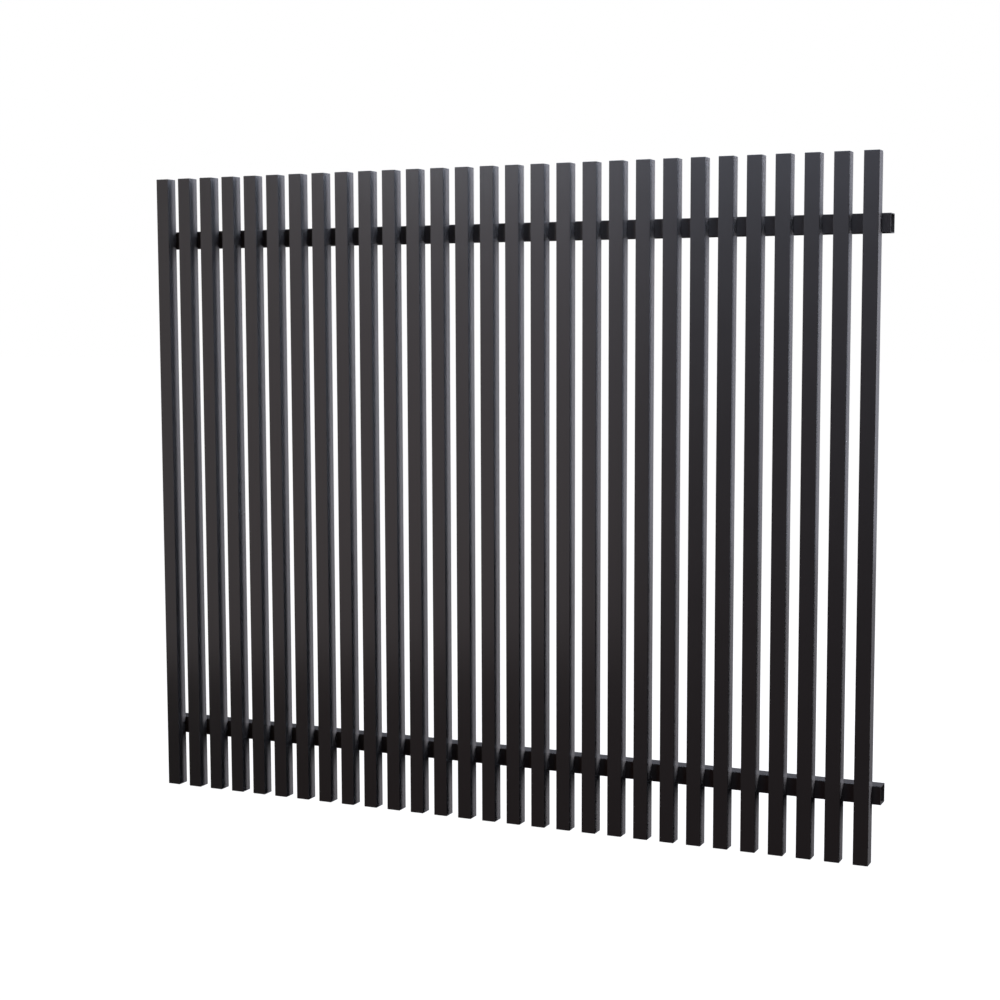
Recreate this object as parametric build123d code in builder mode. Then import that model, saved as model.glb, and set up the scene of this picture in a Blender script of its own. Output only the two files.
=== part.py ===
"""Aluminium slat fence panel: upright square tubes fixed to the front of two level tube rails.

Millimetres, +Z up, +X along the panel, slats facing -Y. The origin is on the back face of the
bottom rail, in the middle of the short stub that stands out past the first slat.
"""
import os

from build123d import *

# Slats: upright square tubes, evenly spaced
SLAT_COUNT = 29
SLAT_WIDTH = 40.0
SLAT_DEPTH = 40.0
SLAT_GAP = 36.0
SLAT_WALL = 1.2
SLAT_CORNER_RADIUS = 0.8
PANEL_HEIGHT = 1840.0

# Rails: two level tubes behind the slats, left open at both ends
RAIL_HEIGHT = 50.0
RAIL_DEPTH = 45.0
RAIL_WALL = 2.0
RAIL_CORNER_RADIUS = 2.0
RAIL_INNER_RADIUS = 0.5
RAIL_STUB = 22.0
RAIL_SETBACK = 155.0

# Caps: moulded plugs that close the slats' ends
CAP_PLATE = 2.0
CAP_CHAMFER = 0.5
CAP_PLUG_LENGTH = 16.0
CAP_PLUG_WALL = 1.6
CAP_FIN_COUNT = 2
CAP_FIN_THICKNESS = 1.2
CAP_FIN_REACH = 1.5
CAP_FIN_CLEARANCE = 0.2

# Places along the panel, from the middle of the left stub
SLAT_PITCH = SLAT_WIDTH + SLAT_GAP
SLAT_ROW_LENGTH = SLAT_COUNT * SLAT_PITCH - SLAT_GAP
RAIL_LENGTH = SLAT_ROW_LENGTH + 2 * RAIL_STUB
RAIL_LEFT_X = -RAIL_STUB / 2
FIRST_SLAT_X = RAIL_LEFT_X + RAIL_STUB + SLAT_WIDTH / 2
SLAT_XS = [FIRST_SLAT_X + index * SLAT_PITCH for index in range(SLAT_COUNT)]

# Depths, from the rails' back face towards the front
RAIL_MID_Y = -RAIL_DEPTH / 2
SLAT_MID_Y = -RAIL_DEPTH - SLAT_DEPTH / 2

# Heights, from the middle of the bottom rail
BOTTOM_RAIL_Z = 0.0
PANEL_BOTTOM_Z = BOTTOM_RAIL_Z - RAIL_HEIGHT / 2 - RAIL_SETBACK
PANEL_TOP_Z = PANEL_BOTTOM_Z + PANEL_HEIGHT
TOP_RAIL_Z = PANEL_TOP_Z - RAIL_SETBACK - RAIL_HEIGHT / 2
TUBE_BOTTOM_Z = PANEL_BOTTOM_Z + CAP_PLATE
TUBE_TOP_Z = PANEL_TOP_Z - CAP_PLATE

# Sizes inside the slat tube, which the plugs follow
BORE_WIDTH = SLAT_WIDTH - 2 * SLAT_WALL
BORE_DEPTH = SLAT_DEPTH - 2 * SLAT_WALL
FIN_WIDTH = BORE_WIDTH - 2 * CAP_FIN_CLEARANCE
FIN_DEPTH = BORE_DEPTH - 2 * CAP_FIN_CLEARANCE
PLUG_WIDTH = FIN_WIDTH - 2 * CAP_FIN_REACH
PLUG_DEPTH = FIN_DEPTH - 2 * CAP_FIN_REACH
FIN_PITCH = CAP_PLUG_LENGTH / CAP_FIN_COUNT


def save(part, name):
    """Label a finished piece and write it as its own node."""
    part.label = name
    export_step(part, f"parts/{name}.step")


def make_slat(name, middle_x):
    """One slat: a square tube that stands on its lower cap and ends under its upper one."""
    with BuildPart() as slat:
        with BuildSketch(Plane((middle_x, SLAT_MID_Y, TUBE_BOTTOM_Z))):
            RectangleRounded(SLAT_WIDTH, SLAT_DEPTH, SLAT_CORNER_RADIUS)
            Rectangle(BORE_WIDTH, BORE_DEPTH, mode=Mode.SUBTRACT)
        extrude(amount=TUBE_TOP_Z - TUBE_BOTTOM_Z)
    save(slat.part, name)


def make_rail(name, middle_z):
    """One rail: a tube with rounded corners that lies flat against the backs of the slats."""
    section = Plane((RAIL_LEFT_X, RAIL_MID_Y, middle_z), x_dir=(0, 1, 0), z_dir=(1, 0, 0))
    with BuildPart() as rail:
        with BuildSketch(section):
            RectangleRounded(RAIL_DEPTH, RAIL_HEIGHT, RAIL_CORNER_RADIUS)
            RectangleRounded(
                RAIL_DEPTH - 2 * RAIL_WALL,
                RAIL_HEIGHT - 2 * RAIL_WALL,
                RAIL_INNER_RADIUS,
                mode=Mode.SUBTRACT,
            )
        extrude(amount=RAIL_LENGTH)
    save(rail.part, name)


def make_cap():
    """One cap: a plate flush with the tube's outline, on a hollow plug with gripping fins."""
    with BuildPart() as cap:
        with BuildSketch() as outline:
            Rectangle(SLAT_WIDTH, SLAT_DEPTH)
            chamfer(outline.vertices(), SLAT_CORNER_RADIUS)
        extrude(amount=CAP_PLATE)
        chamfer(cap.faces().sort_by(Axis.Z)[-1].edges(), CAP_CHAMFER)
        for index in range(CAP_FIN_COUNT):
            with BuildSketch(Plane.XY.offset(-(index + 0.5) * FIN_PITCH)):
                Rectangle(FIN_WIDTH, FIN_DEPTH)
            extrude(amount=CAP_FIN_THICKNESS / 2, both=True)
        with BuildSketch():
            Rectangle(PLUG_WIDTH, PLUG_DEPTH)
        extrude(amount=-CAP_PLUG_LENGTH)
        with BuildSketch():
            Rectangle(PLUG_WIDTH - 2 * CAP_PLUG_WALL, PLUG_DEPTH - 2 * CAP_PLUG_WALL)
        extrude(amount=-CAP_PLUG_LENGTH, mode=Mode.SUBTRACT)
    return cap.part


def make_cap_row(name, cap, seat_z, turn):
    """A row of caps, one in the end of each slat, as solids that stand apart."""
    with BuildPart() as row:
        with Locations(*[(middle_x, SLAT_MID_Y, seat_z) for middle_x in SLAT_XS]):
            add(cap, rotation=turn)
    save(row.part, name)


os.makedirs("parts", exist_ok=True)

for number, slat_x in enumerate(SLAT_XS, start=1):
    make_slat(f"slat_{number:02d}", slat_x)

make_rail("bottom_rail", BOTTOM_RAIL_Z)
make_rail("top_rail", TOP_RAIL_Z)

slat_cap = make_cap()
make_cap_row("slat_top_caps", slat_cap, TUBE_TOP_Z, (0, 0, 0))
make_cap_row("slat_bottom_caps", slat_cap, TUBE_BOTTOM_Z, (180, 0, 0))
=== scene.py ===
"""Dresses the slat fence panel: its finishes, its welds, the studio and the camera."""
import math

import bmesh
import bpy
from mathutils import Matrix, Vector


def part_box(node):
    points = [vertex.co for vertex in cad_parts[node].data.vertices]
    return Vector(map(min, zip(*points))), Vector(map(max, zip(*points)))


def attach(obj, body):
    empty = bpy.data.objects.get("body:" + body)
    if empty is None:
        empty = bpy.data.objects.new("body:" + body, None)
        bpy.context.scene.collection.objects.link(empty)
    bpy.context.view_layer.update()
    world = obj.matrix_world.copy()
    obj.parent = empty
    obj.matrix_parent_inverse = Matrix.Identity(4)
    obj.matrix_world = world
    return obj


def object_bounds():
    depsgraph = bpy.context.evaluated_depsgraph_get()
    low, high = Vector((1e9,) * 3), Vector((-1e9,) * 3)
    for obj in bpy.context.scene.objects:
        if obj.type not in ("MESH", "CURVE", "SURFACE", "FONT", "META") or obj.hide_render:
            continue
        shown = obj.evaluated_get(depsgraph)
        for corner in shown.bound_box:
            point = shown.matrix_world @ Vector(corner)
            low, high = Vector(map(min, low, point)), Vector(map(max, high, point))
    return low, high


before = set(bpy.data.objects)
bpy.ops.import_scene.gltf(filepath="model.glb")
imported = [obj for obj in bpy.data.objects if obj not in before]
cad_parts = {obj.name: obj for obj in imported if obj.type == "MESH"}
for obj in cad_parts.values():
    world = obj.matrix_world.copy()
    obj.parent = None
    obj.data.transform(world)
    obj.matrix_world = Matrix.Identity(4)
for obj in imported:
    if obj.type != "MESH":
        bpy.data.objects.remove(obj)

CAD_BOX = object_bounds()

# The script's units are metres, and small sizes are written in millimetres
MM = 0.001

# The panel's pieces, by the frame's names
RAILS = ("bottom_rail", "top_rail")
CAPS = ("slat_top_caps", "slat_bottom_caps")
SLATS = sorted(set(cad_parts) - set(RAILS) - set(CAPS))

# Welds: a short fillet above and below the rail behind each slat
WELD_LEG = 3.2 * MM
WELD_SIDE_MARGIN = 4.0 * MM
WELD_RIPPLE = 2.6 * MM
WELD_RIPPLE_RISE = 1.14
WELD_END_TAPER = 0.55
WELD_ROOT = 1.2 * MM
WELD_SIDES = 16
WELD_SMOOTH_ANGLE = math.radians(50)

# The refractive index of both plastics, the coat and the caps
PLASTIC_IOR = 1.5

# Satin polyester powder coat, baked on extruded aluminium: a closed, near-black film with hardly any
# colour of its own, clear but softened reflections, a faint orange peel and slow changes of gloss
# where the film is thicker
POWDER_COAT = {
    "colours": ("#302e2c", "#33312f"),
    "roughness": (0.20, 0.24),
    "cloud_width": 90 * MM,
    "grain_width": 1.5 * MM,
    "grain_depth": 0.01 * MM,
    "grain_strength": 0.05,
}

# Moulded polyethylene: duller than the coat, with the fine grain of a spark-eroded mould and some dust
MOULDED_PLASTIC = {
    "colours": ("#262627", "#2d2d2e"),
    "roughness": (0.42, 0.55),
    "cloud_width": 25 * MM,
    "grain_width": 0.8 * MM,
    "grain_depth": 0.05 * MM,
    "grain_strength": 0.25,
}

# Studio floor: a white table top that glows, so that it runs into the white surround
FLOOR_HALF = 60.0
FLOOR_GLOW = 1.03
FLOOR_WHITE = "#fefefe"
FLOOR_SHADE = "#fcfcfc"
FLOOR_BODY = "#302f2f"
FLOOR_CLOUD_WIDTH = 0.6
FLOOR_ROUGHNESS = 0.9

# Each softbox: the middle of its face in metres, the way it faces as a turn from the panel's back and
# a tilt in degrees, its width and height in metres, its brightness, its colour, and whether the coat
# mirrors it
SOFTBOXES = {
    "overhead_softbox": ((1.50, 0.45, 2.19), -22.0, -90.0, 2.25, 1.91, 13.8, "#d0e0ff", False),
    "back_softbox": ((0.90, 1.60, 2.40), 180.0, -60.0, 1.60, 0.80, 6.0, "#dce4ff", False),
    "rear_softbox": ((3.60, 3.70, 1.60), 165.0, 0.0, 1.20, 3.00, 0.64, "#e4eaff", True),
    "right_softbox": ((4.53, 2.30, 1.60), 97.0, 0.0, 1.39, 3.34, 105.0, "#eaeeff", False),
    "left_back_softbox": ((-3.00, 1.20, 1.50), -107.0, 0.0, 2.00, 2.50, 5.0, "#eaeeff", False),
    "left_softbox": ((-0.24, -1.86, 0.91), -39.0, 0.0, 2.26, 2.03, 0.65, "#fff3f6", True),
    "high_left_softbox": ((-1.91, -5.69, 3.60), -28.0, -22.0, 1.60, 1.91, 10.4, "#f4f8ff", True),
    "high_right_softbox": ((2.81, -1.96, 3.42), 41.0, -43.0, 1.60, 1.40, 10.4, "#d8e2ff", False),
    "front_fill": ((1.35, -5.76, -0.91), 4.0, 0.0, 9.60, 7.75, 0.05, "#ff8030", True),
}

# Camera, at the photograph's place in the panel's frame, with angles in degrees
CAMERA_PLACE = (3.1965, -4.6827, 1.2280)
CAMERA_TURN = 24.1624
CAMERA_TILT = -5.5376
CAMERA_ROLL = -0.1651
CAMERA_LENS = 65.411
CAMERA_SENSOR = 36.0


def linear(code):
    """An sRGB hex colour as linear RGBA."""
    shares = [int(code[i:i + 2], 16) / 255 for i in (1, 3, 5)]
    return [s / 12.92 if s <= 0.04045 else ((s + 0.055) / 1.055) ** 2.4 for s in shares] + [1.0]


def add_node(tree, kind, settings=None, inputs=None, links=None):
    """Adds a shader node, sets its properties and input values, and links inputs to other outputs."""
    node = tree.nodes.new(kind)
    for name, value in (settings or {}).items():
        setattr(node, name, value)
    for name, value in (inputs or {}).items():
        node.inputs[name].default_value = value
    for name, output in (links or {}).items():
        tree.links.new(output, node.inputs[name])
    return node


def new_material(name):
    """An empty node material with its output node."""
    material = bpy.data.materials.new(name)
    material.use_nodes = True
    material.node_tree.nodes.clear()
    output = add_node(material.node_tree, "ShaderNodeOutputMaterial")
    return material, material.node_tree, output


def finish(name, colours, roughness, cloud_width, grain_width, grain_depth, grain_strength):
    """A glossy or dull film: cloudy changes of colour and gloss, and a fine grain in its surface."""
    material, tree, output = new_material(name)
    place = add_node(tree, "ShaderNodeTexCoord").outputs["Object"]
    noises = [
        add_node(tree, "ShaderNodeTexNoise", inputs={"Scale": 1 / width}, links={"Vector": place})
        for width in (cloud_width, grain_width)
    ]
    clouds, grain = [noise.outputs["Fac"] for noise in noises]
    tint = add_node(
        tree, "ShaderNodeMix", {"data_type": "RGBA"},
        {"A": linear(colours[0]), "B": linear(colours[1])}, {"Factor": clouds},
    )
    gloss = add_node(
        tree, "ShaderNodeMapRange",
        inputs={"To Min": roughness[0], "To Max": roughness[1]}, links={"Value": clouds},
    )
    bump = add_node(
        tree, "ShaderNodeBump",
        inputs={"Strength": grain_strength, "Distance": grain_depth}, links={"Height": grain},
    )
    film = add_node(
        tree, "ShaderNodeBsdfPrincipled", inputs={"IOR": PLASTIC_IOR},
        links={
            "Base Color": tint.outputs["Result"],
            "Roughness": gloss.outputs["Result"],
            "Normal": bump.outputs["Normal"],
        },
    )
    tree.links.new(film.outputs["BSDF"], output.inputs["Surface"])
    return material


def floor_paint(name):
    """White acrylic table top, lit evenly from below: faint, slow clouds and soft, weak shadows."""
    material, tree, output = new_material(name)
    place = add_node(tree, "ShaderNodeTexCoord").outputs["Object"]
    clouds = add_node(
        tree, "ShaderNodeTexNoise", inputs={"Scale": 1 / FLOOR_CLOUD_WIDTH}, links={"Vector": place},
    )
    glow = add_node(
        tree, "ShaderNodeMix", {"data_type": "RGBA"},
        {"A": linear(FLOOR_WHITE), "B": linear(FLOOR_SHADE)}, {"Factor": clouds.outputs["Fac"]},
    )
    table = add_node(
        tree, "ShaderNodeBsdfPrincipled",
        inputs={
            "Base Color": linear(FLOOR_BODY),
            "Roughness": FLOOR_ROUGHNESS,
            "Specular IOR Level": 0.0,
            "Emission Strength": FLOOR_GLOW,
        },
        links={"Emission Color": glow.outputs["Result"]},
    )
    tree.links.new(table.outputs["BSDF"], output.inputs["Surface"])
    return material


def dress(node, material):
    """Gives a CAD node its finish."""
    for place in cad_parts[node].material_slots:
        place.material = material


def select_by(mesh, wanted):
    """In edit mode, selects the vertices whose place passes the test."""
    shape = bmesh.from_edit_mesh(mesh)
    for vertex in shape.verts:
        vertex.select = wanted(vertex.co)
    shape.select_flush_mode()
    bmesh.update_edit_mesh(mesh)


def weld_bead(length):
    """One fillet weld along X, its corner at the origin: rounded, rippled and tapered at its ends."""
    bpy.ops.object.select_all(action="DESELECT")
    bpy.ops.mesh.primitive_cylinder_add(
        vertices=WELD_SIDES, radius=WELD_LEG, depth=length, rotation=(0, math.pi / 2, 0),
    )
    bead = bpy.context.object
    bpy.ops.object.transform_apply(rotation=True)
    bpy.ops.object.mode_set(mode="EDIT")
    count = 2 * round(length / WELD_RIPPLE / 2)
    rings = [length * (index / count - 0.5) for index in range(1, count)]
    for ring in rings:
        bpy.ops.mesh.select_all(action="SELECT")
        bpy.ops.mesh.bisect(plane_co=(ring, 0, 0), plane_no=(1, 0, 0))
    near = WELD_RIPPLE / 4
    for ring in rings[::2]:
        select_by(bead.data, lambda co: abs(co.x - ring) < near)
        bpy.ops.transform.resize(value=(1, WELD_RIPPLE_RISE, WELD_RIPPLE_RISE), center_override=(ring, 0, 0))
    for end in (-length / 2, length / 2):
        select_by(bead.data, lambda co: abs(co.x - end) < near)
        bpy.ops.transform.resize(value=(1, WELD_END_TAPER, WELD_END_TAPER), center_override=(end, 0, 0))
    for place, normal in (((0, 0, 0), (0, -1, 0)), ((0, 0, -WELD_ROOT), (0, 0, -1))):
        bpy.ops.mesh.select_all(action="SELECT")
        bpy.ops.mesh.bisect(plane_co=place, plane_no=normal, use_fill=True, clear_outer=True)
    bpy.ops.mesh.select_all(action="SELECT")
    bpy.ops.mesh.normals_make_consistent(inside=False)
    bpy.ops.object.mode_set(mode="OBJECT")
    bpy.ops.object.shade_smooth_by_angle(angle=WELD_SMOOTH_ANGLE)
    return bead


def weld_row(name, rail, bead, material):
    """The welds of one rail: a copy of the bead above and below it behind every slat, as one piece."""
    rail_low, rail_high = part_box(rail)
    copies = []
    for slat in SLATS:
        low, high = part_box(slat)
        middle = (low[0] + high[0]) / 2
        for edge, upright in ((rail_high[2], 1), (rail_low[2], -1)):
            mesh = bead.data.copy()
            mesh.transform(Matrix.Translation((middle, high[1], edge)) @ Matrix.Scale(upright, 4, (0, 0, 1)))
            if upright < 0:
                mesh.flip_normals()
            copy = bpy.data.objects.new(name, mesh)
            bpy.context.collection.objects.link(copy)
            copies.append(copy)
    bpy.ops.object.select_all(action="DESELECT")
    for copy in copies:
        copy.select_set(True)
    bpy.context.view_layer.objects.active = copies[0]
    bpy.ops.object.join()
    row = bpy.context.object
    row.name = name
    row.data.materials.clear()
    row.data.materials.append(material)
    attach(row, "root")
    return row


def studio_floor(level):
    """A plain pale floor under the panel."""
    bpy.ops.object.select_all(action="DESELECT")
    bpy.ops.mesh.primitive_plane_add(size=2 * FLOOR_HALF, location=(0, 0, level))
    floor = bpy.context.object
    floor.name = "studio_floor"
    floor.data.materials.append(floor_paint("Studio floor paint"))
    floor.visible_glossy = False
    floor.visible_diffuse = False
    floor.visible_shadow = False


def studio_world():
    """A white surround that the camera sees and that lights nothing."""
    world = bpy.data.worlds.new("Studio")
    bpy.context.scene.world = world
    world.use_nodes = True
    tree = world.node_tree
    tree.nodes.clear()
    seen = add_node(tree, "ShaderNodeLightPath").outputs["Is Camera Ray"]
    light = add_node(
        tree, "ShaderNodeBackground", inputs={"Color": (1, 1, 1, 1)}, links={"Strength": seen},
    )
    output = add_node(tree, "ShaderNodeOutputWorld")
    tree.links.new(light.outputs["Background"], output.inputs["Surface"])


def aim(turn, tilt, roll=0.0):
    """The way a lamp or camera faces: a turn from the panel's back, a tilt up and a roll, in degrees."""
    turn, tilt, roll = (math.radians(angle) for angle in (turn, tilt, roll))
    return (
        Matrix.Rotation(turn, 4, "Z")
        @ Matrix.Rotation(math.pi / 2 + tilt, 4, "X")
        @ Matrix.Rotation(roll, 4, "Z")
    )


def softbox(name, middle, turn, tilt, width, height, brightness, colour, mirrored):
    """A rectangular studio light with an even face."""
    lamp = bpy.data.lights.new(name, "AREA")
    lamp.shape = "RECTANGLE"
    lamp.size = width
    lamp.size_y = height
    lamp.color = linear(colour)[:3]
    lamp.energy = brightness * math.pi * width * height
    light = bpy.data.objects.new(name, lamp)
    light.matrix_world = Matrix.Translation(middle) @ aim(turn, tilt)
    light.visible_glossy = mirrored
    bpy.context.collection.objects.link(light)


def studio_camera():
    """The camera, to the right of the panel and above its middle height."""
    lens = bpy.data.cameras.new("camera")
    lens.lens = CAMERA_LENS
    lens.sensor_width = CAMERA_SENSOR
    camera = bpy.data.objects.new("camera", lens)
    camera.matrix_world = Matrix.Translation(CAMERA_PLACE) @ aim(CAMERA_TURN, CAMERA_TILT, CAMERA_ROLL)
    bpy.context.collection.objects.link(camera)
    bpy.context.scene.camera = camera


# Finishes
coat = finish("Satin black powder coat", **POWDER_COAT)
plastic = finish("Moulded black plastic", **MOULDED_PLASTIC)
for part in SLATS + list(RAILS):
    dress(part, coat)
for part in CAPS:
    dress(part, plastic)

# Welds
slat_low, slat_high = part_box(SLATS[0])
model_bead = weld_bead(slat_high[0] - slat_low[0] - 2 * WELD_SIDE_MARGIN)
for rail_name in RAILS:
    weld_row(f"{rail_name}_welds", rail_name, model_bead, coat)
bpy.data.objects.remove(model_bead)

# Studio
studio_floor(CAD_BOX[0][2])
studio_world()
for name, settings in SOFTBOXES.items():
    softbox(name, *settings)
studio_camera()
bpy.context.scene.view_settings.view_transform = "Standard"
